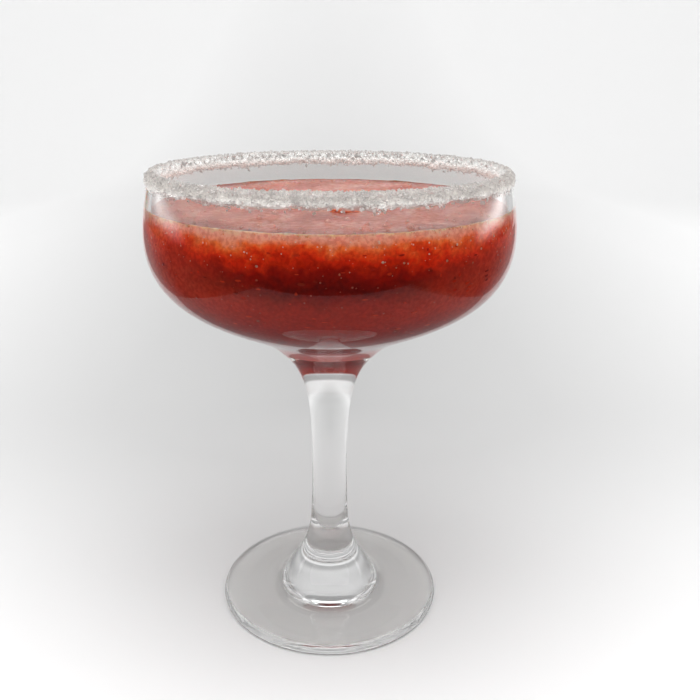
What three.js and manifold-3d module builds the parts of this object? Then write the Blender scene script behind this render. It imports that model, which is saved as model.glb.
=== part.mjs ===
// A frozen red margarita in a footed coupe glass with a coarse salt rim.
// Units are millimetres. +Z is up, and the origin is the middle of the foot's underside.
// Nodes: glass (one blown piece), drink (fills the bowl up to its level), salt_rim (the crust on the lip).

import * as THREE from "three";
import { mergeVertices } from "three/addons/utils/BufferGeometryUtils.js";
import Module from "manifold-3d";

const wasm = await Module();
wasm.setup();

// Driving dimensions of the glass
const RIM_TOP = 128.4;
const WALL = 1.9;
const RIM_RADIUS = 45.9; // to the middle of the wall at the lip
const LIP_LEAN = 13; // degrees that the walls lean in at the lip
const BOWL_RADIUS = 49.2;
const BOWL_WIDEST_Z = 112.5;
const BOWL_FLOOR_Z = 84.2; // inside, above the thick bottom
const NECK_Z = 79.0; // where the bowl turns into the neck
const NECK_RADIUS = 14.1;
const NECK_FADE = 8.1;
const STEM_RADIUS = 4.7;
const FOOT_RADIUS = 32.5;
const FOOT_THICKNESS = 2.9;
const FOOT_RING_INNER = 26.0; // the flat ring that stands on the table
const FOOT_EDGE_ROUND = 1.8;
const PUNT_HEIGHT = 1.0; // the shallow hollow under the foot

// How far each curve of the bowl holds its direction at its ends
const LIP_PULL = 4;
const BELLY_PULL = 5;
const OUTSIDE_FULLNESS = 22.7;
const INSIDE_FULLNESS = 18;
const NECK_PULL = { r: 10.3, z: 10.6 };
const FLOOR_PULL = 22;

// The bell at the bottom of the stem, as two flares that fade with height
const BELL_FOOT_Z = 3.6;
const BELL_SLOW = { radius: 2.75, fade: 16.6 };
const BELL_FAST = { radius: 6.8, fade: 11.0 };
const BELL_FILLET = { width: 4.6, drop: 0.55 };

// Driving dimensions of the drink and the salt
const FIT_GAP = 0.3; // between neighbouring solids
const DRINK_LEVEL = 119.9;
const MENISCUS = { height: 0.45, width: 1.2 };
const RIPPLE = 0.14;
const SWELL = { x: 5.1, y: 4.3, across: 3.1, calm: 6 }; // lengths of the ripples, and of the calm by the wall
const SALT_REACH = { outside: 1.9, inside: 2.3 }; // how far the crust comes down each side of the lip
const SALT_BACK_OFFSET = FIT_GAP + 0.06;
const SALT_THINNEST = 0.05;
const SALT_THICKNESS = 0.5;
const SALT_ROUNDNESS = 0.35; // below 1 the crust keeps its thickness nearly to its edges
const SALT_BUMP = 0.3;
const SALT_RAGGED = 0.75; // how much its lower edges wander
const CRYSTAL_SIZE = { least: 0.7, spread: 0.33 };
const CRYSTAL_COUNT = 28;
const CRYSTAL_PROUD = 0.1;

// Facets
const TURNS = 48;
const WALL_STEPS = { upper: 3, lower: 9 }; // the same outside, inside and on the drink
const STEM_HEIGHTS = [5.5, 9, 12.5, 16, 20, 26, 38, 52, 60, 66, 70, 73.5, 76.5];
const SURFACE_RINGS = [0, 0.2, 0.4, 0.58, 0.74, 0.87, 0.96]; // as shares of the drink's radius
const SALT_TURNS = 216;
const SALT_BACK_TURNS = 60;
const SALT_FRONT_ROWS = [-1, -0.6, -0.2, 0.12, 0.38, 0.62, 0.88, 1.2, 1.6, 2];
const SALT_BACK_ROWS = [-0.95, 0, 0.25, 0.5, 0.75, 1, 1.95];

// What floats on the drink: a raft of pulp, single bubbles, and bubbles caught along the wall
const PULP_RAFT = { x: 3.8, y: -15.9, length: 6.9, width: 4.2, height: 0.9, turned: 11 };
const FREE_BUBBLES = [
  { x: -16.4, y: -26.0, radius: 0.7 },
  { x: -13.2, y: -20.4, radius: 0.8 },
  { x: -0.4, y: -31.3, radius: 0.8 },
  { x: 4.0, y: -28.7, radius: 0.7 },
  { x: 8.4, y: -35.1, radius: 0.6 },
  { x: 12.2, y: -36.4, radius: 0.6 },
  { x: 17.6, y: -37.6, radius: 0.9 },
  { x: 22.2, y: -12.9, radius: 0.7 },
];
const WALL_BUBBLES = { count: 10, inset: 2.2, insetSpread: 1.5, radius: 0.5, radiusSpread: 0.5 };
const BUBBLE_LIFT = 0.2; // as a share of its radius
const SEEDS = { bubbles: 11, salt: 5 };
const GOLDEN_SHARE = 0.618; // spreads things evenly with no pattern

const glassMaterial = new THREE.MeshStandardMaterial({ color: 0xdfe4e6, roughness: 0.04, metalness: 0 });
const drinkMaterial = new THREE.MeshStandardMaterial({ color: 0xa32310, roughness: 0.25, metalness: 0 });
const saltMaterial = new THREE.MeshStandardMaterial({ color: 0xe2d8d3, roughness: 0.5, metalness: 0 });

// A repeatable random number from 0 to 1
function randomSource(seed) {
  let state = seed;
  return () => {
    state = (state * 1664525 + 1013904223) % 4294967296;
    return state / 4294967296;
  };
}

function bezier(points) {
  return new THREE.CubicBezierCurve(...points.map(([r, z]) => new THREE.Vector2(r, z)));
}

// The lip is a half round, and wallDirection points up along its walls
const lipCentre = new THREE.Vector2(RIM_RADIUS, RIM_TOP - WALL / 2);
const lean = THREE.MathUtils.degToRad(LIP_LEAN);
const wallDirection = new THREE.Vector2(-Math.sin(lean), Math.cos(lean));
const wallNormal = new THREE.Vector2(wallDirection.y, -wallDirection.x);
const lipOuter = lipCentre.clone().addScaledVector(wallNormal, WALL / 2);
const lipInner = lipCentre.clone().addScaledVector(wallNormal, -WALL / 2);

// The wall from the lip down to where the bowl is widest
function upperWall(lipPoint, widestRadius) {
  const belowLip = lipPoint.clone().addScaledVector(wallDirection, -LIP_PULL);
  const aboveWidest = [widestRadius, BOWL_WIDEST_Z + BELLY_PULL];
  return bezier([lipPoint.toArray(), belowLip.toArray(), aboveWidest, [widestRadius, BOWL_WIDEST_Z]]);
}

// The four curves of the bowl, each from the lip downward
const upperOutside = upperWall(lipOuter, BOWL_RADIUS);
const upperInside = upperWall(lipInner, BOWL_RADIUS - WALL);
const lowerOutside = bezier([
  [BOWL_RADIUS, BOWL_WIDEST_Z],
  [BOWL_RADIUS, BOWL_WIDEST_Z - OUTSIDE_FULLNESS],
  [NECK_RADIUS + NECK_PULL.r, NECK_Z + NECK_PULL.z],
  [NECK_RADIUS, NECK_Z],
]);
const lowerInside = bezier([
  [BOWL_RADIUS - WALL, BOWL_WIDEST_Z],
  [BOWL_RADIUS - WALL, BOWL_WIDEST_Z - INSIDE_FULLNESS],
  [FLOOR_PULL, BOWL_FLOOR_Z],
  [0, BOWL_FLOOR_Z],
]);

// Radius of the neck, stem and bell at a height between the foot and the bowl
function stemRadius(z) {
  const neck = (NECK_RADIUS - STEM_RADIUS) * Math.exp(-(NECK_Z - z) / NECK_FADE);
  const rise = z - BELL_FOOT_Z;
  const slow = BELL_SLOW.radius * Math.exp(-rise / BELL_SLOW.fade);
  const fast = BELL_FAST.radius * Math.exp(-((rise / BELL_FAST.fade) ** 2));
  return STEM_RADIUS + neck + slow + fast;
}

function arc(centreR, centreZ, radius, fromDegrees, toDegrees, steps) {
  const points = [];
  for (let i = 0; i <= steps; i += 1) {
    const angle = THREE.MathUtils.degToRad(fromDegrees + ((toDegrees - fromDegrees) * i) / steps);
    points.push(new THREE.Vector2(centreR + radius * Math.cos(angle), centreZ + radius * Math.sin(angle)));
  }
  return points;
}

function footProfile() {
  const points = [new THREE.Vector2(0, PUNT_HEIGHT)];
  points.push(new THREE.Vector2(FOOT_RING_INNER / 2, PUNT_HEIGHT * 0.75));
  points.push(new THREE.Vector2(FOOT_RING_INNER, 0));
  const lowRound = FOOT_EDGE_ROUND / 2;
  points.push(...arc(FOOT_RADIUS - lowRound, lowRound, lowRound, -90, 0, 2));
  const highCentre = FOOT_THICKNESS - FOOT_EDGE_ROUND;
  points.push(...arc(FOOT_RADIUS - FOOT_EDGE_ROUND, highCentre, FOOT_EDGE_ROUND, 0, 85, 3));
  const bellRadius = stemRadius(BELL_FOOT_Z);
  points.push(new THREE.Vector2(bellRadius + BELL_FILLET.width, BELL_FOOT_Z - BELL_FILLET.drop));
  points.push(new THREE.Vector2(bellRadius + BELL_FILLET.width / 4, BELL_FOOT_Z));
  return points;
}

function stemProfile() {
  return STEM_HEIGHTS.map((z) => new THREE.Vector2(stemRadius(z), z));
}

// The inside wall from the lip to the axis, moved into the bowl by a gap
function insideWall(gap) {
  const points = [];
  for (const [curve, steps] of [[upperInside, WALL_STEPS.upper], [lowerInside, WALL_STEPS.lower]]) {
    for (let i = curve === upperInside ? 0 : 1; i <= steps; i += 1) {
      const point = curve.getPoint(i / steps);
      const down = curve.getTangent(i / steps);
      points.push(new THREE.Vector2(point.x + down.y * gap, point.y - down.x * gap));
    }
  }
  points[points.length - 1].x = 0;
  return points;
}

function glassGeometry() {
  const profile = [
    ...footProfile(),
    ...stemProfile(),
    ...lowerOutside.getPoints(WALL_STEPS.lower).reverse(),
    ...upperOutside.getPoints(WALL_STEPS.upper).reverse().slice(1),
    ...arc(lipCentre.x, lipCentre.y, WALL / 2, LIP_LEAN, LIP_LEAN + 180, 4).slice(1, -1),
    ...insideWall(0),
  ];
  return new THREE.LatheGeometry(profile, TURNS);
}

// The drink

// The side of the drink, from its level at the wall down to the axis
function drinkSide() {
  const wall = insideWall(FIT_GAP);
  const first = wall.findIndex((point) => point.y < DRINK_LEVEL - 1);
  const [above, below] = [wall[first - 1], wall[first]];
  const share = (DRINK_LEVEL + MENISCUS.height - below.y) / (above.y - below.y);
  return [new THREE.Vector2().lerpVectors(below, above, share), ...wall.slice(first)];
}

// Height of the slushy surface: slow swells, and a rise where it clings to the wall
function surfaceHeight(x, y, edgeRadius) {
  const radius = Math.hypot(x, y);
  const crossed = Math.sin(x / SWELL.x + 0.7) * Math.cos(y / SWELL.y - 0.4);
  const swell = crossed + 0.6 * Math.sin((x + y) / SWELL.across);
  const cling = MENISCUS.height * Math.exp(-(edgeRadius - radius) / MENISCUS.width);
  const calm = Math.min(1, (edgeRadius - radius) / SWELL.calm);
  return DRINK_LEVEL + cling + RIPPLE * swell * calm;
}

function drinkGeometry() {
  const side = drinkSide();
  const edgeRadius = side[0].x;
  const top = SURFACE_RINGS.map((share) => new THREE.Vector2(share * edgeRadius, DRINK_LEVEL));
  const geometry = new THREE.LatheGeometry([...side.reverse(), ...top.reverse()], TURNS);
  const position = geometry.attributes.position;
  for (let i = 0; i < position.count; i += 1) {
    const [x, z] = [position.getX(i), position.getZ(i)];
    if (position.getY(i) > DRINK_LEVEL - 0.01 && Math.hypot(x, z) < edgeRadius - 0.01) {
      position.setY(i, surfaceHeight(x, z, edgeRadius));
    }
  }
  return { geometry, edgeRadius };
}

function raftSolid() {
  const raft = new THREE.IcosahedronGeometry(1, 1);
  raft.scale(PULP_RAFT.length / 2, PULP_RAFT.width / 2, PULP_RAFT.height);
  raft.rotateZ(THREE.MathUtils.degToRad(PULP_RAFT.turned));
  return toSolid(raft.translate(PULP_RAFT.x, PULP_RAFT.y, DRINK_LEVEL));
}

function wallBubbles(edgeRadius) {
  const random = randomSource(SEEDS.bubbles);
  const bubbles = [];
  for (let i = 0; i < WALL_BUBBLES.count; i += 1) {
    const angle = ((i + 0.7 * random()) / WALL_BUBBLES.count) * 2 * Math.PI;
    const out = edgeRadius - WALL_BUBBLES.inset - WALL_BUBBLES.insetSpread * random();
    const radius = WALL_BUBBLES.radius + WALL_BUBBLES.radiusSpread * random();
    bubbles.push({ x: out * Math.cos(angle), y: out * Math.sin(angle), radius });
  }
  return bubbles;
}

function drinkSolid() {
  const { geometry, edgeRadius } = drinkGeometry();
  let solid = toSolid(geometry.rotateX(Math.PI / 2)).add(raftSolid());
  for (const { x, y, radius } of [...FREE_BUBBLES, ...wallBubbles(edgeRadius)]) {
    const bubble = new THREE.IcosahedronGeometry(radius, 0);
    bubble.translate(x, y, surfaceHeight(x, -y, edgeRadius) + radius * BUBBLE_LIFT);
    solid = solid.add(toSolid(bubble));
  }
  return fromSolid(solid);
}

// The salt

// A point a distance down one wall from the lip, and an offset outward from it
function offWall(curve, distance, offset) {
  const share = distance / curve.getLength();
  const point = curve.getPointAt(share);
  const down = curve.getTangentAt(share);
  return new THREE.Vector2(point.x - down.y * offset, point.y + down.x * offset);
}

// A point over the lip, off the glass. Along runs from -1, low outside, by 0 and 1, the ends of
// the round, to 2, low inside. Drop lengthens the two sides.
function overLip(along, offset, drop) {
  if (along < 0) {
    return offWall(upperOutside, -along * (SALT_REACH.outside + drop), offset);
  }
  if (along > 1) {
    return offWall(upperInside, (along - 1) * (SALT_REACH.inside + drop), -offset);
  }
  const turn = wallNormal.angle() + Math.PI * along;
  const fromCentre = WALL / 2 + offset;
  return new THREE.Vector2(Math.cos(turn), Math.sin(turn)).multiplyScalar(fromCentre).add(lipCentre);
}

// How far the ragged lower edge comes down at an angle: three waves and some chance
function raggedDrop(angle, side, chance) {
  const waves = Math.sin(9 * angle + side) + Math.sin(23 * angle + 2 * side) + Math.sin(41 * angle);
  return SALT_RAGGED * (0.25 * waves + 0.6 * (chance - 0.5));
}

function ringPoint(profile, angle) {
  return [profile.x * Math.cos(angle), profile.x * Math.sin(angle), profile.y];
}

// Rows of points round the lip. The back lies along the glass, and the front is bumpy.
function saltRow(along, turns, isFront, chances, random) {
  const row = [];
  for (let i = 0; i < turns; i += 1) {
    const angle = (i / turns) * 2 * Math.PI;
    const chance = chances[Math.floor((i * SALT_TURNS) / turns)];
    const drop = raggedDrop(angle, along < 0.5 ? 0 : 1, along < 0.5 ? chance.outside : chance.inside);
    const fullness = Math.max(0, Math.sin((Math.PI * (along + 1)) / 3)) ** SALT_ROUNDNESS;
    const bump = SALT_BUMP * (2 * random() - 1) * fullness;
    const thickness = isFront ? SALT_THINNEST + SALT_THICKNESS * fullness + bump : 0;
    row.push(ringPoint(overLip(along, SALT_BACK_OFFSET + thickness, drop), angle));
  }
  return row;
}

// Triangles between two rings, which may have different counts. The first ring lies ahead of the second.
function bridge(indices, first, firstCount, second, secondCount) {
  let i = 0;
  let j = 0;
  while (i < firstCount || j < secondCount) {
    const a = first + (i % firstCount);
    const b = second + (j % secondCount);
    if ((i + 0.5) / firstCount <= (j + 0.5) / secondCount && i < firstCount) {
      indices.push(a, first + ((i + 1) % firstCount), b);
      i += 1;
    } else {
      indices.push(a, second + ((j + 1) % secondCount), b);
      j += 1;
    }
  }
}

function saltCrust(random) {
  const chances = [];
  for (let i = 0; i < SALT_TURNS; i += 1) {
    chances.push({ outside: random(), inside: random() });
  }
  const front = SALT_FRONT_ROWS.map((along) => saltRow(along, SALT_TURNS, true, chances, random));
  const back = SALT_BACK_ROWS.map((along) => saltRow(along, SALT_BACK_TURNS, false, chances, random));
  const rings = [...front, ...back.reverse()];
  const positions = [];
  const starts = [];
  for (const ring of rings) {
    starts.push(positions.length / 3);
    positions.push(...ring.flat());
  }
  const indices = [];
  for (let k = 0; k < rings.length; k += 1) {
    const next = (k + 1) % rings.length;
    bridge(indices, starts[k], rings[k].length, starts[next], rings[next].length);
  }
  const geometry = new THREE.BufferGeometry();
  geometry.setAttribute("position", new THREE.Float32BufferAttribute(positions, 3));
  geometry.setIndex(indices);
  return geometry;
}

// One crystal, a worn cube that is half sunk in the crust
function crystal(random) {
  const size = CRYSTAL_SIZE.least + CRYSTAL_SIZE.spread * random();
  const geometry = new THREE.BoxGeometry(size, size * (0.8 + 0.3 * random()), size * (0.7 + 0.3 * random()));
  geometry.rotateX(Math.PI * random());
  geometry.rotateY(Math.PI * random());
  return geometry.rotateZ(Math.PI * random());
}

function saltSolid() {
  const random = randomSource(SEEDS.salt);
  let solid = toSolid(saltCrust(random));
  for (let i = 0; i < CRYSTAL_COUNT; i += 1) {
    const angle = ((i + 0.8 * random()) / CRYSTAL_COUNT) * 2 * Math.PI;
    const along = -0.8 + 2.6 * ((i * GOLDEN_SHARE) % 1);
    const place = overLip(along, SALT_BACK_OFFSET + SALT_THICKNESS + CRYSTAL_PROUD, 0);
    solid = solid.add(toSolid(crystal(random).translate(...ringPoint(place, angle))));
  }
  return fromSolid(solid);
}

// Between three.js geometry and solids that can be joined
function toSolid(source) {
  const geometry = source.clone();
  geometry.deleteAttribute("normal");
  geometry.deleteAttribute("uv");
  const merged = mergeVertices(geometry, 1e-5);
  const mesh = new wasm.Mesh({
    numProp: 3,
    vertProperties: new Float32Array(merged.attributes.position.array),
    triVerts: new Uint32Array(merged.index.array),
  });
  return new wasm.Manifold(mesh);
}

function fromSolid(solid) {
  const mesh = solid.getMesh();
  const geometry = new THREE.BufferGeometry();
  geometry.setAttribute("position", new THREE.Float32BufferAttribute(mesh.vertProperties, 3));
  geometry.setIndex(Array.from(mesh.triVerts));
  geometry.computeVertexNormals();
  return geometry;
}

function named(name, geometry, material) {
  const mesh = new THREE.Mesh(geometry, material);
  mesh.name = name;
  return mesh;
}

const margarita = new THREE.Group();
margarita.name = "margarita";
margarita.add(named("glass", glassGeometry().rotateX(Math.PI / 2), glassMaterial));
margarita.add(named("drink", drinkSolid(), drinkMaterial));
margarita.add(named("salt_rim", saltSolid(), saltMaterial));

export default margarita;
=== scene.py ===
import math

import bmesh
import bpy
import numpy as np
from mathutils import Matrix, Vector


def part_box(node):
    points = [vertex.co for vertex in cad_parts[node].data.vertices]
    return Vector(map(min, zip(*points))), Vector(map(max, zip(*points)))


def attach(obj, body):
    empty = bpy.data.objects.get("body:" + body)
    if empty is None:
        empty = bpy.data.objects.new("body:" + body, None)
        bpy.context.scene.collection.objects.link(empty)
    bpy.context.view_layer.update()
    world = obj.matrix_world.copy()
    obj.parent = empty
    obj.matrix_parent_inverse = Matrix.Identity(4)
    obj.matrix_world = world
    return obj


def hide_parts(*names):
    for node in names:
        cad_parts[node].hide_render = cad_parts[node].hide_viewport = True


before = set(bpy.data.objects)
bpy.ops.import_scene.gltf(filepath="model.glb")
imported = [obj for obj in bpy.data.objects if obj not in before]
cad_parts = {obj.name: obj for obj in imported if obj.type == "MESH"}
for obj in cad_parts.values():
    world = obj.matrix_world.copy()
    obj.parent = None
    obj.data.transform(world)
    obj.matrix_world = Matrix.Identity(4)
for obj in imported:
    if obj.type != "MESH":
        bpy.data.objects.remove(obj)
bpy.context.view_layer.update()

# Sizes in metres. The bowl's radius and the rim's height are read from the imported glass.
MM = 0.001
glass_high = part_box("glass")[1]
BOWL_RADIUS = glass_high[0]
RIM_TOP = glass_high[2]
WALL = 1.9 * MM
RIM_RADIUS = 45.9 * MM  # to the middle of the wall at the lip
LIP_LEAN = math.radians(13)
BOWL_WIDEST_Z = 112.5 * MM
BOWL_FLOOR_Z = 84.2 * MM
NECK_Z = 79.0 * MM
NECK_RADIUS = 14.1 * MM
NECK_FADE = 8.1 * MM
STEM_RADIUS = 4.7 * MM
FOOT_RADIUS = 32.5 * MM
FOOT_THICKNESS = 2.9 * MM
FOOT_RING_INNER = 26.0 * MM
FOOT_EDGE_ROUND = 1.8 * MM
FOOT_EDGE_TURN = math.radians(85)  # how far the upper edge turns before the foot's slope
PUNT_HEIGHT = 1.0 * MM

# The bell at the bottom of the stem: two flares that fade with height, and a fillet onto the foot
BELL_FOOT_Z = 3.6 * MM
BELL_SLOW = (2.75 * MM, 16.6 * MM)
BELL_FAST = (6.8 * MM, 11.0 * MM)
BELL_FILLET = (4.6 * MM, 0.55 * MM)
FILLET_CLIMB = 0.7  # the fillet goes this share of its width up the bell
FILLET_PULL = {"out": 0.4, "down": 0.6, "up": 0.2}

# How far each curve of the bowl holds its direction at its ends
LIP_PULL = 4 * MM
BELLY_PULL = 5 * MM
OUTSIDE_FULLNESS = 22.7 * MM
INSIDE_FULLNESS = 18 * MM
NECK_PULL = (10.3 * MM, 10.6 * MM)
FLOOR_PULL = 22 * MM

DRINK_LEVEL = 119.9 * MM
MENISCUS_HEIGHT = 0.2 * MM
MENISCUS_WIDTH = 1.1 * MM
CONTACT_WANDER = 0.15 * MM  # how much the drink's edge on the wall rises and falls
GLOW_DEPTH = 17 * MM  # light from the top colours the drink down to here
FOAM_DEPTH = 1.35 * MM
INTO_WALL = 0.1 * MM  # the drink reaches this far into the glass, so that no air shows
RIPPLE = 0.14 * MM
SWELL = {"x": 5.1 * MM, "y": 4.3 * MM, "across": 3.1 * MM, "calm": 6 * MM}
SURFACE_LUMPS = (0.05 * MM, 2.6 * MM)  # height and length of the fine lumps of ice

SALT_REACH = {"outside": 1.9 * MM, "inside": 2.3 * MM}
SALT_RAGGED = 0.75 * MM  # how much the crust's lower edges wander
SALT_BACK = 0.03 * MM  # between the crust and the glass
SALT_CORE = 0.3 * MM
SALT_FULLNESS = 0.4  # below 1 the crust keeps its thickness nearly to its edges
SALT_LUMPS = (0.06 * MM, 1.6 * MM)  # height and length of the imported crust's lumps
GRAIN_SIZE = 0.75 * MM
MOST_RADIUS = 48.5 * MM  # the grains stay within this

# The camera stands where the photo was taken from, in front of the glass and above it
IMAGE_SIZE = 700
FOCAL_PIXELS = 810.3
SENSOR_MM = 36
CAMERA_BACK = 216.7 * MM
CAMERA_UP = 152.9 * MM
CAMERA_PITCH = math.radians(19.03)
AXIS_COLUMN = 329.6  # where the glass's axis stands in the photo

TURNS = 256  # faces round the glass and the drink
CRUST_TURNS = 720


# Curves of the glass, as rows of (radius, height)

def bezier(points, steps):
    t = np.linspace(0, 1, steps + 1)[:, None]
    a, b, c, d = (np.array(p, float) for p in points)
    return (1 - t) ** 3 * a + 3 * (1 - t) ** 2 * t * b + 3 * (1 - t) * t ** 2 * c + t ** 3 * d


def arc(centre, radius, start, stop, steps):
    angle = np.linspace(start, stop, steps + 1)
    return np.column_stack((centre[0] + radius * np.cos(angle), centre[1] + radius * np.sin(angle)))


WALL_UP = np.array([-math.sin(LIP_LEAN), math.cos(LIP_LEAN)])
WALL_OUT = np.array([math.cos(LIP_LEAN), math.sin(LIP_LEAN)])
LIP_CENTRE = np.array([RIM_RADIUS, RIM_TOP - WALL / 2])


def upper_wall(side, steps):
    """The wall from the lip down to the widest ring: side is 1 outside and -1 inside."""
    lip = LIP_CENTRE + side * WALL_OUT * WALL / 2
    widest = BOWL_RADIUS if side > 0 else BOWL_RADIUS - WALL
    above = (widest, BOWL_WIDEST_Z + BELLY_PULL)
    return bezier([lip, lip - WALL_UP * LIP_PULL, above, (widest, BOWL_WIDEST_Z)], steps)


def lower_outside(steps):
    return bezier(
        [
            (BOWL_RADIUS, BOWL_WIDEST_Z),
            (BOWL_RADIUS, BOWL_WIDEST_Z - OUTSIDE_FULLNESS),
            (NECK_RADIUS + NECK_PULL[0], NECK_Z + NECK_PULL[1]),
            (NECK_RADIUS, NECK_Z),
        ],
        steps,
    )


def lower_inside(steps):
    inner = BOWL_RADIUS - WALL
    return bezier(
        [
            (inner, BOWL_WIDEST_Z),
            (inner, BOWL_WIDEST_Z - INSIDE_FULLNESS),
            (FLOOR_PULL, BOWL_FLOOR_Z),
            (0, BOWL_FLOOR_Z),
        ],
        steps,
    )


def stem_radius(z):
    neck = (NECK_RADIUS - STEM_RADIUS) * np.exp(-(NECK_Z - z) / NECK_FADE)
    rise = z - BELL_FOOT_Z
    slow = BELL_SLOW[0] * np.exp(-rise / BELL_SLOW[1])
    fast = BELL_FAST[0] * np.exp(-((rise / BELL_FAST[1]) ** 2))
    return STEM_RADIUS + neck + slow + fast


def foot_profile():
    r = np.linspace(0, FOOT_RING_INNER, 25)
    underside = np.column_stack((r, PUNT_HEIGHT * (1 - (r / FOOT_RING_INNER) ** 2)))
    low = FOOT_EDGE_ROUND / 2
    low_edge = arc((FOOT_RADIUS - low, low), low, -math.pi / 2, 0, 8)
    high_centre = (FOOT_RADIUS - FOOT_EDGE_ROUND, FOOT_THICKNESS - FOOT_EDGE_ROUND)
    high_edge = arc(high_centre, FOOT_EDGE_ROUND, 0, FOOT_EDGE_TURN, 12)
    bell = stem_radius(BELL_FOOT_Z)
    width, drop = BELL_FILLET
    fillet_foot = (bell + width, BELL_FOOT_Z - drop)
    slope = high_edge[-1] + (np.array(fillet_foot) - high_edge[-1]) * np.linspace(0.1, 0.9, 9)[:, None]
    bell_top = BELL_FOOT_Z + width * FILLET_CLIMB
    fillet = bezier(
        [
            fillet_foot,
            (bell + width * FILLET_PULL["out"], BELL_FOOT_Z - drop * FILLET_PULL["down"]),
            (bell + 0.1 * MM, BELL_FOOT_Z + width * FILLET_PULL["up"]),
            (stem_radius(bell_top), bell_top),
        ],
        12,
    )
    return np.vstack((underside, low_edge, high_edge, slope, fillet))


def glass_profile():
    foot = foot_profile()
    z = np.linspace(foot[-1, 1], NECK_Z, 150)[1:-1]
    stem = np.column_stack((stem_radius(z), z))
    lip = arc(LIP_CENTRE, WALL / 2, LIP_LEAN, LIP_LEAN + math.pi, 18)[1:-1]
    outside = np.vstack((lower_outside(70)[::-1], upper_wall(1, 24)[::-1][1:]))
    inside = np.vstack((upper_wall(-1, 24), lower_inside(70)[1:]))
    return np.vstack((foot, stem, outside, lip, inside))


def offset(profile, distance):
    """The profile moved to its left side by a distance."""
    along = np.gradient(profile, axis=0)
    along /= np.linalg.norm(along, axis=1)[:, None]
    return profile + distance * np.column_stack((-along[:, 1], along[:, 0]))


def radius_at(wall, z):
    """The radius of a wall, whose rows go downward, at a height or at many."""
    return np.interp(-z, -wall[:, 1], wall[:, 0])


# Meshes

def new_object(name, vertices, faces, materials, smooth=True, face_materials=None):
    mesh = bpy.data.meshes.new(name)
    mesh.from_pydata(np.asarray(vertices).tolist(), [], [list(map(int, f)) for f in faces])
    for material in materials:
        mesh.materials.append(material)
    if smooth:
        mesh.polygons.foreach_set("use_smooth", [True] * len(mesh.polygons))
    if face_materials is not None:
        mesh.polygons.foreach_set("material_index", np.asarray(face_materials, int).tolist())
    mesh.update()
    piece = bpy.data.objects.new(name, mesh)
    bpy.context.scene.collection.objects.link(piece)
    return piece


def add_to_part(piece, replaced=None):
    """The piece rides on the part's one body; the part it replaces is hidden."""
    if replaced:
        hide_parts(replaced)
    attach(piece, "root")


def lathe(profile, turns=TURNS):
    """Vertices and faces of a profile turned round the axis, with its ends closed where they meet it."""
    angle = np.linspace(0, 2 * math.pi, turns, endpoint=False)
    touches = profile[:, 0] < 1e-7
    vertices, starts = [], []
    for (r, z), on_axis in zip(profile, touches):
        starts.append(len(vertices))
        if on_axis:
            vertices.append((0, 0, z))
        else:
            vertices.extend(zip(r * np.cos(angle), r * np.sin(angle), [z] * turns))
    faces = []
    for k in range(len(profile) - 1):
        a, b = starts[k], starts[k + 1]
        for i in range(turns):
            j = (i + 1) % turns
            if touches[k]:
                faces.append((a, b + j, b + i))
            elif touches[k + 1]:
                faces.append((a + i, a + j, b))
            else:
                faces.append((a + i, a + j, b + j, b + i))
    return np.array(vertices), faces


def smooth_noise(points, scale, seed, octaves=3):
    """A repeatable smooth value from about -1 to 1 at each point, from waves in chance directions."""
    random = np.random.default_rng(seed)
    total = np.zeros(len(points))
    for octave in range(octaves):
        for _ in range(7):
            direction = random.normal(size=3)
            direction /= np.linalg.norm(direction)
            wave = 2 * math.pi * (points @ direction) * (2 ** octave) / scale * random.uniform(0.6, 1.5)
            total += np.sin(wave + random.uniform(0, 6.28)) / (2 ** octave)
    return total / 4.5


def joined(shapes):
    """One vertex array and face list from many copies: each shape is (vertices, faces)."""
    vertices, faces, start = [], [], 0
    for points, polygons in shapes:
        vertices.append(points)
        faces.extend(tuple(start + i for i in polygon) for polygon in polygons)
        start += len(points)
    return np.vstack(vertices), faces


def ball(subdivisions):
    """The vertices and faces of a unit icosphere."""
    mesh = bmesh.new()
    bmesh.ops.create_icosphere(mesh, subdivisions=subdivisions, radius=1)
    points = np.array([v.co[:] for v in mesh.verts])
    faces = [tuple(v.index for v in f.verts) for f in mesh.faces]
    mesh.free()
    return points, faces


def chance_turn(random):
    """A chance rotation matrix."""
    matrix, _ = np.linalg.qr(random.normal(size=(3, 3)))
    return matrix * np.sign(np.linalg.det(matrix))


def round_axis(profile_point, angle):
    r, z = profile_point
    return np.array([r * math.cos(angle), r * math.sin(angle), z])


# Materials

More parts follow.
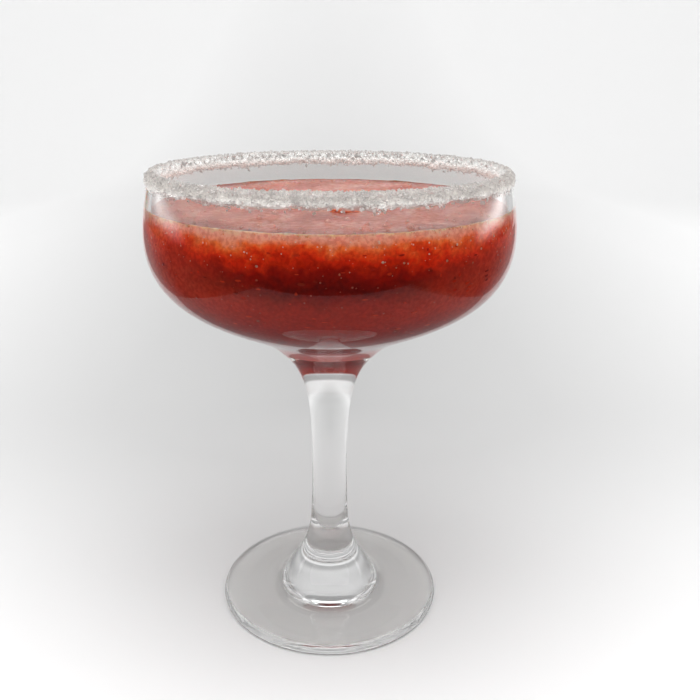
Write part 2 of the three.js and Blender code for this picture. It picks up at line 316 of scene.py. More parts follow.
class Look:
    """A new material, with short ways to add nodes to it. Places in it are the piece's own, in metres."""

    def __init__(self, name):
        self.material = bpy.data.materials.new(name)
        self.material.use_nodes = True
        self.nodes = self.material.node_tree.nodes
        self.links = self.material.node_tree.links
        self.shader = self.nodes["Principled BSDF"]

    def put(self, socket, value):
        """A number, colour or another node's output into a socket."""
        if isinstance(value, bpy.types.NodeSocket):
            self.links.new(value, socket)
        elif socket.type == "RGBA":
            socket.default_value = (*value, 1)
        else:
            socket.default_value = value

    def add(self, kind, **sockets):
        node = self.nodes.new("ShaderNode" + kind)
        for name, value in sockets.items():
            self.put(node.inputs[name.replace("_", " ")], value)
        return node

    def paint(self, **sockets):
        """Sockets of the material's own shader. Gives the material back."""
        for name, value in sockets.items():
            self.put(self.shader.inputs[name.replace("_", " ")], value)
        return self.material

    def place(self):
        return self.add("TexCoord").outputs["Object"]

    def along(self, axis):
        return self.add("SeparateXYZ", Vector=self.place()).outputs[axis]

    def length(self, directions=(1, 1, 1)):
        """The distance from the origin, measured along these directions only."""
        flat = self.nodes.new("ShaderNodeVectorMath")
        flat.operation = "MULTIPLY"
        self.put(flat.inputs[0], self.place())
        self.put(flat.inputs[1], directions)
        ring = self.nodes.new("ShaderNodeVectorMath")
        ring.operation = "LENGTH"
        self.put(ring.inputs[0], flat.outputs["Vector"])
        return ring.outputs["Value"]

    def noise(self, scale, detail=3, distortion=0.0):
        node = self.add("TexNoise", Vector=self.place(), Scale=scale, Detail=detail, Distortion=distortion)
        return node.outputs["Fac"]

    def calc(self, operation, a, b=0.0):
        node = self.nodes.new("ShaderNodeMath")
        node.operation = operation
        self.put(node.inputs[0], a)
        self.put(node.inputs[1], b)
        return node.outputs[0]

    def span(self, value, start, stop, low=0.0, high=1.0):
        """Low where the value is at start, high where it is at stop, and even between."""
        node = self.add("MapRange", Value=value, From_Min=start, From_Max=stop, To_Min=low, To_Max=high)
        return node.outputs["Result"]

    def ramp(self, value, stops):
        """Colours by value: stops are (value, colour) from 0 to 1."""
        node = self.nodes.new("ShaderNodeValToRGB")
        elements = node.color_ramp.elements
        for element, (position, color) in zip(elements, (stops[0], stops[-1])):
            element.position = position
            element.color = (*color, 1)
        for position, color in stops[1:-1]:
            elements.new(position).color = (*color, 1)
        self.links.new(value, node.inputs["Fac"])
        return node.outputs["Color"]

    def mix(self, factor, a, b, blend="MIX"):
        node = self.nodes.new("ShaderNodeMix")
        node.data_type = "RGBA"
        node.blend_type = blend
        self.put(node.inputs["Factor"], factor)
        for name, value in (("A", a), ("B", b)):
            self.put(next(s for s in node.inputs if s.name == name and s.type == "RGBA"), value)
        return next(s for s in node.outputs if s.type == "RGBA")

    def bump(self, height, distance):
        return self.add("Bump", Height=height, Strength=1.0, Distance=distance).outputs["Normal"]

    def blend(self, factor, first, second):
        """Two shaders mixed."""
        node = self.add("MixShader", Fac=factor)
        self.links.new(first, node.inputs[1])
        self.links.new(second, node.inputs[2])
        return node.outputs["Shader"]


def grey(tone):
    return (tone, tone, tone)


WATER_IOR = 1.34
GLASS_TINTS = [  # by height: clear in the stem, a little misted where the cold drink stands
    (0.6 * NECK_Z, (1.0, 1.0, 1.0)),
    (BOWL_FLOOR_Z, (0.92, 0.925, 0.92)),
    (DRINK_LEVEL - MM, (0.90, 0.90, 0.895)),
    (DRINK_LEVEL + MM, (0.87, 0.87, 0.865)),
]
MIST = (0.74, 0.74, 0.73)  # above the drink at the back


def glass_material():
    """Clear glass, a little misted where the cold drink stands, with a faint waviness and film."""
    look = Look("clear_glass")
    height = look.span(look.along("Z"), 0, RIM_TOP)
    near = [(z / RIM_TOP, tint) for z, tint in GLASS_TINTS]
    far = [*near[:-1], (near[-1][0], MIST)]
    back = look.span(look.along("Y"), 0, 0.5 * BOWL_RADIUS)
    return look.paint(
        Base_Color=look.mix(back, look.ramp(height, near), look.ramp(height, far)),
        Transmission_Weight=1,
        IOR=1.5,
        Roughness=look.span(look.noise(60, 4), 0.45, 0.75, 0, 0.012),
        Normal=look.bump(look.noise(45, 1), 0.12 * MM),
    )


GLOW_TONES = [  # of the drink's side, by share of the glow's depth: painted light from the top that dies away into painted shade in the middle, and painted light from below in the last tone
    (0.08, (0.98, 0.40, 0.22)),
    (0.14, (0.93, 0.24, 0.07)),
    (0.22, (0.86, 0.105, 0.02)),
    (0.33, (0.74, 0.034, 0.006)),
    (0.50, (0.34, 0.007, 0.002)),
    (0.72, (0.15, 0.0035, 0.002)),
    (1.00, (0.32, 0.007, 0.003)),
]
FOAM_TONE = (0.97, 0.55, 0.43)
SIDE_GLOW = (0.80, 0.085, 0.04)  # where the drink is thin, at its sides
SIDE_GLOW_SHARE = 0.6
SIDE_GLOW_HEIGHTS = (12 * MM, 22 * MM)  # above the bowl's floor, from none to all
FLOOR_GLOW = (0.60, 0.09, 0.075)
FLOOR_GLOW_HEIGHTS = (3.2 * MM, 0.8 * MM)
GLOW_WANDER = 7 * MM  # how much its clumps move the glow up and down
FOAM_WANDER = 0.15  # the share of that by which they move the foam
FOAM_FADE = (-1.0 * MM, 1.1 * MM)


def slush_side_material():
    """The drink as it shows through the wall: light from the top glows in it and dies away with depth."""
    look = Look("slush_side")
    z = look.along("Z")
    clumps = look.calc("ADD", look.noise(260, 4, 0.5), look.noise(90, 3, 0.3))
    uneven = look.calc("MULTIPLY", look.calc("SUBTRACT", clumps, 1.0), GLOW_WANDER)
    depth = look.span(look.calc("ADD", z, uneven), DRINK_LEVEL, DRINK_LEVEL - GLOW_DEPTH)
    color = look.ramp(depth, GLOW_TONES)
    slant = look.add("LayerWeight").outputs["Facing"]
    aside = look.span(slant, 0.08, 0.22, 0, SIDE_GLOW_SHARE)
    high = look.span(z, *(BOWL_FLOOR_Z + rise for rise in SIDE_GLOW_HEIGHTS))
    color = look.mix(look.calc("MULTIPLY", aside, high), color, SIDE_GLOW)
    low = look.span(z, *(BOWL_FLOOR_Z + rise for rise in FLOOR_GLOW_HEIGHTS))
    color = look.mix(low, color, FLOOR_GLOW)
    foam_edge = look.calc("ADD", z, look.calc("MULTIPLY", uneven, FOAM_WANDER))
    foam = look.span(foam_edge, *(DRINK_LEVEL - FOAM_DEPTH + fade for fade in FOAM_FADE))
    color = look.mix(foam, color, FOAM_TONE)
    grit = look.ramp(look.noise(1100, 3, 0.3), [(0.38, (0.85, 0.8, 0.8)), (0.62, (1.1, 1.25, 1.25))])
    return look.paint(
        Base_Color=look.mix(1.0, color, grit, "MULTIPLY"),
        Roughness=0.5,
        IOR=WATER_IOR,
        Specular_IOR_Level=0.03,
        Subsurface_Weight=1,
        Subsurface_Radius=(1.0, 0.3, 0.15),
        Subsurface_Scale=8 * MM,
    )


TOP_TONES = [(0.34, (0.36, 0.095, 0.07)), (0.5, (0.45, 0.145, 0.105)), (0.68, (0.54, 0.235, 0.185))]


def slush_top_material():
    """The wet top of the drink: soft clouds of fruit and ice with a finer grain."""
    look = Look("slush_top")
    clouds = look.ramp(look.noise(110, 5, 0.4), TOP_TONES)
    grit = look.ramp(look.noise(700, 3, 0.3), [(0.36, (0.8, 0.7, 0.65)), (0.62, (1.1, 1.3, 1.4))])
    return look.paint(
        Base_Color=look.mix(1.0, clouds, grit, "MULTIPLY"),
        Roughness=0.22,
        IOR=WATER_IOR,
        Subsurface_Weight=1,
        Subsurface_Radius=(1.0, 0.16, 0.07),
        Subsurface_Scale=6 * MM,
        Normal=look.bump(look.noise(900, 4), 0.08 * MM),
    )


UNTINTED = (1.0, 1.0, 1.0)


def speckled_material(name, dark, light, roughness, scale, radius=0.6, gloss=0.5, deep_shade=UNTINTED):
    """Small wet things whose tone changes from one to the next. The deep shade tint is painted shade that
    darkens them low in the drink, where the light from the top has died away.
    """
    look = Look(name)
    tone = look.ramp(look.noise(scale, 2), [(0.35, dark), (0.65, light)])
    # Painted shade: deeper in the drink the tone is darkened by the deep shade tint.
    depth = look.span(look.along("Z"), DRINK_LEVEL - 0.2 * GLOW_DEPTH, DRINK_LEVEL - 0.6 * GLOW_DEPTH)
    tint = look.mix(depth, UNTINTED, deep_shade)
    return look.paint(
        Base_Color=look.mix(1.0, tone, tint, "MULTIPLY"),
        Roughness=roughness,
        IOR=1.4,
        Specular_IOR_Level=gloss,
        Subsurface_Weight=0.6,
        Subsurface_Radius=(1.0, 0.4, 0.3),
        Subsurface_Scale=radius * MM,
    )


def bubble_material():
    """Thin-skinned bubbles with a little of the drink in their film."""
    look = Look("bubble_film")
    tones = [(0.3, (0.95, 0.62, 0.52)), (0.7, (1.0, 0.86, 0.80))]
    return look.paint(
        Base_Color=look.ramp(look.noise(400, 2), tones),
        Roughness=0.04,
        IOR=1.33,
        Transmission_Weight=0.75,
    )


SALT_TONES = [(0.3, (0.65, 0.63, 0.615)), (0.7, (0.79, 0.77, 0.75))]
# painted light: the crust's inner side, shaded and lit red by the drink, is painted paler and cleaner
SALT_INSIDE_PAINTED_LIGHT = (0.875, 0.885, 0.88)
SALT_LOW_PAINTED_LIGHT = (0.98, 0.975, 0.965)  # painted light along the crust's lower edges, against the shade that the top light leaves there
SALT_PAINTED_LIGHT_DEPTHS = (1.0 * MM, 2.6 * MM)  # below the lip, from none to all
SALT_TRANSLUCENT = 0.72


def salt_material(name, clear, glass_share, see_through):
    """Coarse salt: cloudy white grains that light passes. Clear is how much of it shadows let by."""
    look = Look(name)
    cloud = look.noise(500, 3)
    # Painted light: the crust's inner side is painted paler, against the drink's shade.
    inside = look.span(look.length((1, 1, 0)), RIM_RADIUS, RIM_RADIUS - WALL / 2 - SALT_CORE)
    color = look.mix(inside, look.ramp(cloud, SALT_TONES), SALT_INSIDE_PAINTED_LIGHT)
    # Painted light: paler towards the crust's lower edges.
    low = look.span(look.along("Z"), *(RIM_TOP - depth for depth in SALT_PAINTED_LIGHT_DEPTHS))
    color = look.mix(low, color, SALT_LOW_PAINTED_LIGHT)
    look.paint(
        Base_Color=color,
        Roughness=look.span(cloud, 0, 1, 0.05, 0.3),
        IOR=1.54,
        Transmission_Weight=glass_share,
    )
    translucent = look.add("BsdfTranslucent", Color=color).outputs["BSDF"]
    grain = look.blend(SALT_TRANSLUCENT, look.shader.outputs["BSDF"], translucent)
    bare = look.add("BsdfTransparent").outputs["BSDF"]
    seen = look.blend(see_through, grain, bare)
    in_shadow = look.add("LightPath").outputs["Is Shadow Ray"]
    let_by = look.add("BsdfTransparent", Color=grey(clear)).outputs["BSDF"]
    look.put(look.nodes["Material Output"].inputs["Surface"], look.blend(in_shadow, seen, let_by))
    return look.material


def card_material(name, tone):
    """Matt, even card, with faint clouds in its tone."""
    look = Look(name)
    tones = [(0.3, grey(0.985 * tone)), (0.7, grey(tone))]
    color = look.ramp(look.noise(8), tones)
    return look.paint(Base_Color=color, Roughness=0.9, Specular_IOR_Level=0.2)


# The glass

def build_glass():
    vertices, faces = lathe(glass_profile())
    glass = new_object("coupe_glass", vertices, faces, [glass_material()])
    add_to_part(glass, "glass")


# The drink

def wall_inside(distance):
    """The inside of the bowl from the lip to the axis, moved outward into the wall."""
    inside = offset(np.vstack((upper_wall(-1, 60), lower_inside(90)[1:])), distance)
    inside[-1, 0] = 0
    return inside


DRINK_WALL = wall_inside(INTO_WALL)
DRINK_EDGE = float(radius_at(DRINK_WALL, DRINK_LEVEL))


def surface_height(x, y):
    """Height of the drink's surface: slow swells, fine lumps of ice, and a rise at the wall."""
    inward = DRINK_EDGE - np.hypot(x, y)
    swell = np.sin(x / SWELL["x"] + 0.7) * np.cos(y / SWELL["y"] + 0.4)
    swell = swell + 0.6 * np.sin((x - y) / SWELL["across"])
    points = np.column_stack((x, y, np.zeros_like(x)))
    lumps = SURFACE_LUMPS[0] * smooth_noise(points, SURFACE_LUMPS[1], 3)
    calm = np.clip(inward / SWELL["calm"], 0, 1)
    cling = MENISCUS_HEIGHT * np.exp(-np.clip(inward, 0, None) / MENISCUS_WIDTH)
    return DRINK_LEVEL + cling + (RIPPLE * swell + lumps) * calm


def build_drink():
    top_z = DRINK_LEVEL + MENISCUS_HEIGHT
    top_edge = (float(radius_at(DRINK_WALL, top_z)), top_z)
    side = np.vstack((top_edge, DRINK_WALL[DRINK_WALL[:, 1] < top_z - 0.1 * MM]))
    inward = np.concatenate((np.geomspace(0.08, 3, 16), np.linspace(3.6, top_edge[0] / MM, 90))) * MM
    top = np.column_stack((top_edge[0] - inward, np.full(len(inward), DRINK_LEVEL)))
    top[-1, 0] = 0
    vertices, faces = lathe(np.vstack((side[::-1], top)))
    first_top = len(vertices) - (len(top) - 1) * TURNS - 1
    vertices[first_top:, 2] = surface_height(vertices[first_top:, 0], vertices[first_top:, 1])
    edge = slice(first_top - TURNS, first_top)
    clinging = vertices[edge, 2] + CONTACT_WANDER * smooth_noise(vertices[edge], 6 * MM, 17)
    vertices[edge, :2] *= (radius_at(DRINK_WALL, clinging) / top_edge[0])[:, None]
    vertices[edge, 2] = clinging
    face_materials = [int(min(face) >= first_top - TURNS) for face in faces]
    materials = [slush_side_material(), slush_top_material()]
    drink = new_object("frozen_drink", vertices, faces, materials, face_materials=face_materials)
    add_to_part(drink, "drink")


PULP_RAFT = {"x": 3.8 * MM, "y": -15.9 * MM, "length": 6.9 * MM, "width": 4.2 * MM, "height": 0.9 * MM}
FREE_BUBBLES = [  # the larger ones, as x, y and radius in mm
    (-16.4, -26.0, 0.7),
    (-13.2, -20.4, 0.8),
    (-0.4, -31.3, 0.8),
    (4.0, -28.7, 0.7),
    (8.4, -35.1, 0.6),
    (12.2, -36.4, 0.6),
    (17.6, -37.6, 0.9),
    (22.2, -12.9, 0.7),
]
EDGE_BUBBLES = 150
OPEN_BUBBLES = 60
ICE_SPECKS = 1300


def on_surface(x, y):
    return np.array([x, y, surface_height(np.array([x]), np.array([y]))[0]])


def build_pulp_raft():
    points, faces = ball(4)
    lumps = 1 + 0.16 * smooth_noise(points, 1.1, 8) + 0.05 * smooth_noise(points, 0.3, 9)
    size = np.array([PULP_RAFT["length"] / 2, PULP_RAFT["width"] / 2, PULP_RAFT["height"]])
    points = points * lumps[:, None] * size + on_surface(PULP_RAFT["x"], PULP_RAFT["y"])
    material = speckled_material("raft_pulp", (0.40, 0.03, 0.006), (0.66, 0.16, 0.045), 0.12, 1200, 1.5)
    add_to_part(new_object("pulp_raft", points, faces, [material]))


def build_surface_bubbles():
    """The larger bubbles, many small ones crowded at the wall, and a few over the whole surface."""
    random = np.random.default_rng(21)
    places = [(x * MM, y * MM, size * MM) for x, y, size in FREE_BUBBLES]
    for _ in range(EDGE_BUBBLES):
        angle = random.uniform(0, 2 * math.pi)
        radius = DRINK_EDGE - abs(random.normal(0, 5)) * MM - 0.8 * MM
        size = random.uniform(0.18, 0.5) * MM
        places.append((radius * math.cos(angle), radius * math.sin(angle), size))
    for _ in range(OPEN_BUBBLES):
        angle = random.uniform(0, 2 * math.pi)
        radius = DRINK_EDGE * math.sqrt(random.uniform(0, 0.9))
        size = random.uniform(0.15, 0.4) * MM
        places.append((radius * math.cos(angle), radius * math.sin(angle), size))
    points, faces = ball(2)
    shapes = [(points * size + on_surface(x, y) + (0, 0, 0.15 * size), faces) for x, y, size in places]
    vertices, polygons = joined(shapes)
    add_to_part(new_object("surface_bubbles", vertices, polygons, [bubble_material()]))


def chance_on_wall(random, lean_to_top, below=0.0):
    """A chance point of the drink's side with the outward direction there, crowded towards the top."""
    top = DRINK_LEVEL - below
    while True:
        share = random.uniform(0, 1) ** lean_to_top
        z = top - share * (top - BOWL_FLOOR_Z - 1.5 * MM)
        r = float(radius_at(DRINK_WALL, z))
        if random.uniform(0, 1) < r / BOWL_RADIUS:
            break
    step = 0.5 * MM
    lower = float(radius_at(DRINK_WALL, z - step))
    angle = random.uniform(0, 2 * math.pi)
    out = np.array([step, lower - r])
    out /= np.linalg.norm(out)
    return round_axis((r, z), angle), round_axis(out, angle), angle


def wall_flake(points, faces, spot, size, thickness):
    """A flat flake lying against the wall: size is its two widths."""
    place, normal, angle = spot
    sideways = np.array([-math.sin(angle), math.cos(angle), 0])
    upward = np.cross(normal, sideways)
    axes = np.array([sideways * size[0], upward * size[1], normal * thickness])
    return points @ axes + place, faces


def build_ice_specks():
    """Ice grains and tiny bubbles that show through the wall."""
    random = np.random.default_rng(5)
    points, faces = ball(1)
    shapes = []
    for _ in range(ICE_SPECKS):
        spot = chance_on_wall(random, 3.6)
        size = MM * random.gamma(3, 0.04) + 0.05 * MM
        shapes.append(wall_flake(points, faces, spot, (size * random.uniform(0.7, 1.3), size), 0.09 * MM))
    vertices, polygons = joined(shapes)
    # painted shade: the specks are darkened low in the drink, where the glow dies away
    dark, light, deep_shade = (0.90, 0.34, 0.18), (1.0, 0.80, 0.66), (0.42, 0.16, 0.15)
    material = speckled_material("ice_speck", dark, light, 0.3, 900, gloss=0.1, deep_shade=deep_shade)
    add_to_part(new_object("ice_specks", vertices, polygons, [material]))


def build_pulp_flecks():
    """Shreds of fruit, bright and dark, that show through the wall."""
    random = np.random.default_rng(6)
    points, faces = ball(2)
    for name, count, dark, light, seed in (
        ("bright_pulp", 190, (0.50, 0.02, 0.006), (0.75, 0.05, 0.012), 31),
        ("dark_pulp", 70, (0.20, 0.010, 0.004), (0.32, 0.02, 0.006), 32),
    ):
        shapes = []
        for _ in range(count):
            spot = chance_on_wall(random, 1.1, FOAM_DEPTH + 1.5 * MM)
            size = (MM * random.uniform(0.25, 0.8), MM * random.uniform(0.12, 0.4))
            ragged = points * (1 + 0.3 * smooth_noise(points + random.uniform(0, 9), 1.3, seed))[:, None]
            shapes.append(wall_flake(ragged, faces, spot, size, 0.04 * MM))
        vertices, polygons = joined(shapes)
        material = speckled_material(name, dark, light, 0.4, 160, gloss=0.03)
        add_to_part(new_object(name, vertices, polygons, [material]))


# The salt

OUTER_WALL = upper_wall(1, 60)
INNER_WALL = upper_wall(-1, 60)


def off_wall(wall, distance, away, side):
    """A point a distance down a wall from the lip, moved away from the glass."""
    steps = np.linalg.norm(np.diff(wall, axis=0), axis=1)
    travelled = np.concatenate(([0], np.cumsum(steps)))
    point = np.array([np.interp(distance, travelled, wall[:, k]) for k in (0, 1)])
    beyond = np.array([np.interp(distance + 0.1 * MM, travelled, wall[:, k]) for k in (0, 1)])
    down = (beyond - point) / np.linalg.norm(beyond - point)
    return point + side * away * np.array([-down[1], down[0]])


def over_lip(along, away, drop):
    """A point over the lip: along is -1 low outside, 0 to 1 over the round, and 2 low inside."""
    if along < 0:
        return off_wall(OUTER_WALL, -along * (SALT_REACH["outside"] + drop), away, 1)
    if along > 1:
        return off_wall(INNER_WALL, (along - 1) * (SALT_REACH["inside"] + drop), away, -1)
    turn = LIP_LEAN + math.pi * along
    return LIP_CENTRE + (WALL / 2 + away) * np.array([math.cos(turn), math.sin(turn)])


def ragged_drop(angle, inside):
    """How much lower than usual the crust's edge comes here."""
    waves = math.sin(9 * angle + inside) + math.sin(23 * angle + 2 * inside) + math.sin(41 * angle)
    return SALT_RAGGED * 0.25 * waves


def salt_thickness(along):
    return SALT_CORE * max(0.0, math.sin(math.pi * (along + 1) / 3)) ** SALT_FULLNESS


def build_salt_crust():
    """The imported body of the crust, which the grains stand on."""
    front = np.concatenate((np.linspace(-1, 0, 7), np.linspace(0, 1, 14)[1:], np.linspace(1, 2, 7)[1:]))
    rows = [(a, True) for a in front] + [(a, False) for a in front[::-1]]
    vertices, faces = [], []
    for along, is_front in rows:
        away = SALT_BACK + (salt_thickness(along) if is_front else 0)
        for i in range(CRUST_TURNS):
            angle = 2 * math.pi * i / CRUST_TURNS
            drop = ragged_drop(angle, int(along > 0.5))
            vertices.append(round_axis(over_lip(along, away, drop), angle))
    vertices = np.array(vertices)
    ring = np.hypot(vertices[:, 0], vertices[:, 1])[:, None]
    centre = vertices / ring * LIP_CENTRE[0]
    centre[:, 2] = LIP_CENTRE[1] - 1.5 * MM
    away = vertices - centre
    away /= np.linalg.norm(away, axis=1)[:, None]
    lumps = SALT_LUMPS[0] * (1 + smooth_noise(vertices, SALT_LUMPS[1], 14, 2))
    front_count = len(front) * CRUST_TURNS
    vertices[:front_count] += (away * lumps[:, None])[:front_count]
    for k in range(len(rows)):
        a, b = k * CRUST_TURNS, ((k + 1) % len(rows)) * CRUST_TURNS
        for i in range(CRUST_TURNS):
            j = (i + 1) % CRUST_TURNS
            faces.append((a + i, a + j, b + j, b + i))
    crust = new_object("salt_crust", vertices, faces, [salt_material("packed_salt", 0.95, 0.0, 0.65)])
    add_to_part(crust, "salt_rim")


CUBE = np.array([(x, y, z) for x in (-1, 1) for y in (-1, 1) for z in (-1, 1)], float) / 2
CUBE_FACES = [(0, 1, 3, 2), (4, 6, 7, 5), (0, 4, 5, 1), (2, 3, 7, 6), (0, 2, 6, 4), (1, 5, 7, 3)]


def salt_grains(random, count, smallest, largest, stray):
    """Worn cubes of salt over the lip. Stray is the share that sits past the crust's lower edges."""
    shapes = []
    while len(shapes) < count:
        angle = random.uniform(0, 2 * math.pi)
        along = random.uniform(-1.0, 2.0)
        drop = ragged_drop(angle, int(along > 0.5))
        if random.uniform(0, 1) < stray:
            along = random.choice((-1, 2)) * 1.0
            drop += abs(random.normal(0, 0.4)) * MM
        else:
            drop += (random.normal(0, 0.25) - 0.45) * MM
        size = random.uniform(smallest, largest)
        away = 0.08 * MM + salt_thickness(along) + size * random.uniform(-0.1, 0.25)
        place = over_lip(along, away, drop)
        if place[0] + 0.6 * size > MOST_RADIUS:
            continue
        worn = CUBE * random.uniform(0.72, 1.1, 3) + random.uniform(-0.12, 0.12, (8, 3))
        points = worn * size @ chance_turn(random) + round_axis(place, angle)
        shapes.append((points, CUBE_FACES))
    return joined(shapes)


def build_salt_grains():
    random = np.random.default_rng(40)
    for name, count, smallest, largest, stray, glass_share in (
        ("salt_grains", 9000, 0.4 * GRAIN_SIZE, 0.8 * GRAIN_SIZE, 0.03, 0.2),
        ("salt_crystals", 2600, 0.7 * GRAIN_SIZE, 1.1 * GRAIN_SIZE, 0.01, 0.7),
    ):
        vertices, faces = salt_grains(random, count, smallest, largest, stray)
        material = salt_material(name, 0.97, glass_share, 0.45)
        add_to_part(new_object(name, vertices, faces, [material], smooth=False))


# The studio, in metres

ROOM_RADIUS = 0.9  # of the flat floor
SWEEP_RADIUS = 0.45  # of the curve that joins it to the wall
ROOM_HEIGHT = 1.2
FLOOR_Z = -0.2 * MM
WALL_SHADE_BAND = [(0.27, 1.0), (0.36, 0.5), (0.60, 0.5), (0.80, 0.75)]  # by height: a grey band above the view, painted shade for the dim room above that glass and drink mirror
# painted shadow of the glass on the ground: its grey by distance from where it is deepest
GROUND_SHADOW_TONES = [(0.0, 0.44), (0.35, 0.54), (0.7, 0.70), (1.0, 0.84), (1.3, 0.95)]
SHADE_Y = 0.15  # how far back the painted shadow on the ground is deepest
SHADE_SPREAD = {"aside": 0.30, "forward": 0.195, "back": 1.0, "up": 1.0}
# painted light on the ground under the foot, and how far it fades
FOOT_PAINTED_LIGHT = (0.83, 0.825, 0.81)
FOOT_PAINTED_LIGHT_FADE = 3 * MM

# Past the sheet that the glass stands on, dark cards stand for the unlit room
SHEET_SIDES = (-0.150, 0.185)
SHEET_FRONT = -0.185
SHEET_BACK = 0.10
SHEET_BACK_HALF = 0.150
# painted shade of the sheet under the glass, which only reflections show
SHEET_SHADE_TONE = 0.24
DARK_TONE = 0.03
HALF_TONE = 0.3  # behind the glass
HALF_TURN = (0.25, 0.9)  # how far back against aside, from dark to half light
CARD_EDGE = [(-0.50, 0.95), (-0.62, 0.2), (-0.62, -0.62), (0.62, -0.62), (0.68, 0.2), (0.58, 0.95)]
CARD_HIGH = 0.3
STRIP_ASIDE = (0.547, 0.40)  # how far aside the bright strips begin and end
STRIP_ENDS = [(-0.02, 0.106), (0.378, 0.142)]  # how far back and how high they begin and end
STRIP_LOW, STRIP_HIGH = 0.06, 0.20
STRIP_HALF = 0.026
STRIP_FADE = 0.12  # over this length their ends fade out
STRIP_SHINE = {"left": 2.6, "right": 4.2}


def ground_material():
    """Pale ground with a painted soft shadow: greyest behind the glass and paler towards the front and
    sides.
    """
    look = Look("pale_ground")
    # Painted shadow: the ground greys towards a spot behind the glass.
    behind = look.calc("SUBTRACT", look.along("Y"), SHADE_Y)
    z = look.along("Z")
    reaches = {
        "aside": look.along("X"),
        "forward": look.calc("MINIMUM", behind, 0.0),
        "back": look.calc("MAXIMUM", behind, 0.0),
        "up": z,
    }
    total = 0.0
    for way, reach in reaches.items():
        share = look.calc("DIVIDE", reach, SHADE_SPREAD[way])
        total = look.calc("ADD", look.calc("POWER", share, 2.0), total)
    far = GROUND_SHADOW_TONES[-1][0]
    distance = look.calc("DIVIDE", look.calc("SQRT", total), far)
    ground = look.ramp(distance, [(at / far, grey(tone)) for at, tone in GROUND_SHADOW_TONES])
    height = look.span(z, 0, ROOM_HEIGHT)
    # Painted shade: a grey band on the wall, which only reflections show.
    band = look.ramp(height, [(at / ROOM_HEIGHT, grey(tone)) for at, tone in WALL_SHADE_BAND])
    color = look.mix(1.0, ground, band, "MULTIPLY")
    # Painted light: the ground is paler under the foot.
    under = look.span(look.length(), FOOT_RADIUS, FOOT_RADIUS - FOOT_PAINTED_LIGHT_FADE)
    color = look.mix(under, color, FOOT_PAINTED_LIGHT)
    return look.paint(Base_Color=color, Roughness=0.8, Specular_IOR_Level=0.1)


def build_room():
    """A round pale floor that sweeps up into a wall, so that no horizon shows."""
    sweep = arc((ROOM_RADIUS, FLOOR_Z + SWEEP_RADIUS), SWEEP_RADIUS, -math.pi / 2, 0, 24)
    wall = (ROOM_RADIUS + SWEEP_RADIUS, ROOM_HEIGHT)
    vertices, faces = lathe(np.vstack(((0, FLOOR_Z), sweep, wall))[::-1], 96)
    new_object("floor", vertices, faces, [ground_material()])


def card(name, corners, material):
    """A card that the camera doesn't see, but that glass, drink and salt mirror."""
    piece = new_object(name, corners, [tuple(range(len(corners)))], [material], smooth=False)
    piece.visible_camera = False
    piece.visible_transmission = False
    piece.visible_shadow = False
    piece.visible_diffuse = False


def flat_card(name, corners, material):
    card(name, [(x, y, FLOOR_Z / 2) for x, y in corners], material)


def upright_card(name, start, end, low, high, material):
    card(name, [(*start, low), (*end, low), (*end, high), (*start, high)], material)


def side_card_material():
    """Dark beside and before the glass, and half light behind it."""
    look = Look("side_card")
    turn = look.calc("DIVIDE", look.along("Y"), look.calc("ABSOLUTE", look.along("X")))
    color = look.ramp(look.span(turn, *HALF_TURN), [(0.0, grey(DARK_TONE)), (1.0, grey(HALF_TONE))])
    return look.paint(Base_Color=color, Roughness=0.9, Specular_IOR_Level=0.1)


def strip_material(name, shine):
    """A soft bright line on a dark card, that rises to the back and fades at both ends."""
    look = Look(name)
    (near, near_z), (far, far_z) = STRIP_ENDS
    y = look.along("Y")
    off = look.calc("SUBTRACT", look.along("Z"), look.span(y, near, far, near_z, far_z))
    off = look.calc("DIVIDE", off, STRIP_HALF)
    strength = look.calc("DIVIDE", shine, look.calc("POWER", math.e, look.calc("MULTIPLY", off, off)))
    for end, full in ((near, near + STRIP_FADE), (far, far - STRIP_FADE)):
        strength = look.calc("MULTIPLY", strength, look.span(y, end, full))
    return look.paint(
        Base_Color=grey(DARK_TONE),
        Roughness=0.9,
        Emission_Color=grey(1),
        Emission_Strength=strength,
    )


def build_strips():
    """Soft strips at both sides, that shine in the glass over the drink."""
    near, far = (back for back, _ in STRIP_ENDS)
    for side, sign in (("left", -1), ("right", 1)):
        name = "card_strip_" + side
        start, end = (sign * STRIP_ASIDE[0], near), (sign * STRIP_ASIDE[1], far)
        upright_card(name, start, end, STRIP_LOW, STRIP_HIGH, strip_material(name, STRIP_SHINE[side]))


def build_dark_cards():
    """Past the pale sheet that the glass stands on, the room is dark on every side but the back."""
    dark = card_material("dark_card", DARK_TONE)
    half_light = side_card_material()
    left, right = SHEET_SIDES
    front = CARD_EDGE[2][1]
    flat_card("card_front", [(left, front), (right, front), (right, SHEET_FRONT), (left, SHEET_FRONT)], dark)
    flat_card("card_left", [(left, front), (-SHEET_BACK_HALF, SHEET_BACK), *CARD_EDGE[:3]], half_light)
    flat_card("card_right", [(SHEET_BACK_HALF, SHEET_BACK), (right, front), *CARD_EDGE[3:]], half_light)
    for k, (start, end) in enumerate(zip(CARD_EDGE, CARD_EDGE[1:])):
        upright_card("card_wall_%d" % k, start, end, 0, CARD_HIGH, half_light)
    back = [(SHEET_BACK_HALF, SHEET_BACK), (-SHEET_BACK_HALF, SHEET_BACK)]
    sheet = [(left, SHEET_FRONT), (right, SHEET_FRONT), *back]
    # A grey card on the sheet, seen only in reflections: painted shade of the sheet under the glass.
    flat_card("card_under", sheet, card_material("shade_card", SHEET_SHADE_TONE))


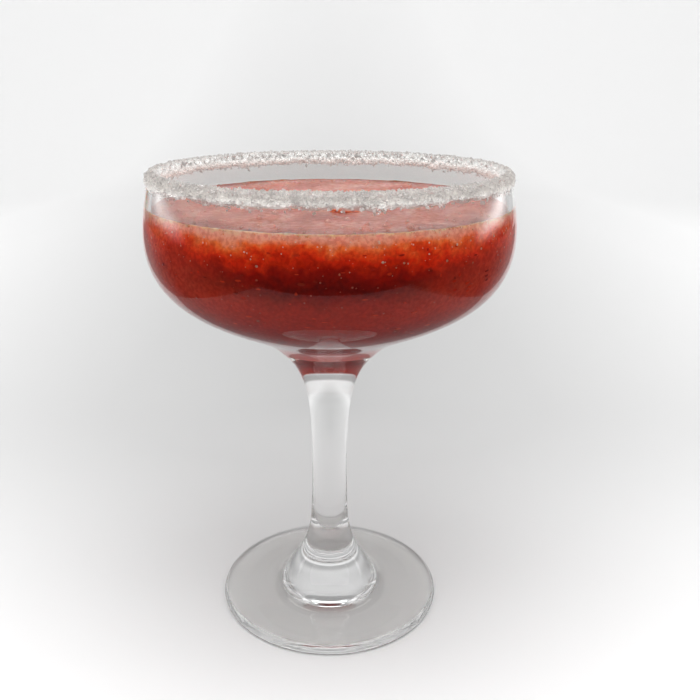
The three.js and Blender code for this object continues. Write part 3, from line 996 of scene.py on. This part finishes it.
def area_light(name, place, target, size, power):
    light = bpy.data.lights.new(name, "AREA")
    light.shape = "RECTANGLE"
    light.size, light.size_y = size
    light.energy = power
    lamp = bpy.data.objects.new(name, light)
    lamp.location = place
    direction = Vector(target) - Vector(place)
    lamp.rotation_euler = direction.to_track_quat("-Z", "Y").to_euler()
    bpy.context.scene.collection.objects.link(lamp)


FILL = 0.34


def build_world():
    """A dim, even fill."""
    world = bpy.data.worlds.new("studio")
    world.use_nodes = True
    bpy.context.scene.world = world
    background = world.node_tree.nodes["Background"]
    background.inputs["Color"].default_value = (1, 1, 1, 1)
    background.inputs["Strength"].default_value = FILL


def build_lights():
    """A wide light above the glass, and one that lights the wall behind it. Powers are in watts."""
    area_light("top_light", (0, -0.15, 0.95), (0, -0.1, 0), (1.3, 1.0), 12.4)
    area_light("back_light", (0, 0.7, 1.15), (0, 1.35, 0.2), (1.2, 0.3), 3.3)


def build_camera():
    camera = bpy.data.cameras.new("camera")
    camera.sensor_width = SENSOR_MM
    camera.lens = FOCAL_PIXELS / IMAGE_SIZE * SENSOR_MM
    camera.shift_x = (IMAGE_SIZE / 2 - AXIS_COLUMN) / IMAGE_SIZE
    camera.clip_start = 0.01
    camera.clip_end = 30
    stand = bpy.data.objects.new("camera", camera)
    stand.location = (0, -CAMERA_BACK, CAMERA_UP)
    stand.rotation_euler = (math.pi / 2 - CAMERA_PITCH, 0, 0)
    bpy.context.scene.collection.objects.link(stand)
    bpy.context.scene.camera = stand


def set_light_paths():
    """Enough bounces for light that turns many times inside the thick glass."""
    cycles = bpy.context.scene.cycles
    cycles.max_bounces = 32
    cycles.transmission_bounces = 32
    cycles.glossy_bounces = 32
    cycles.transparent_max_bounces = 16
    cycles.diffuse_bounces = 4
    bpy.context.scene.view_settings.view_transform = "Standard"


build_camera()
build_glass()
build_drink()
build_pulp_raft()
build_surface_bubbles()
build_ice_specks()
build_pulp_flecks()
build_salt_crust()
build_salt_grains()
build_room()
build_dark_cards()
build_strips()
build_world()
build_lights()
set_light_paths()
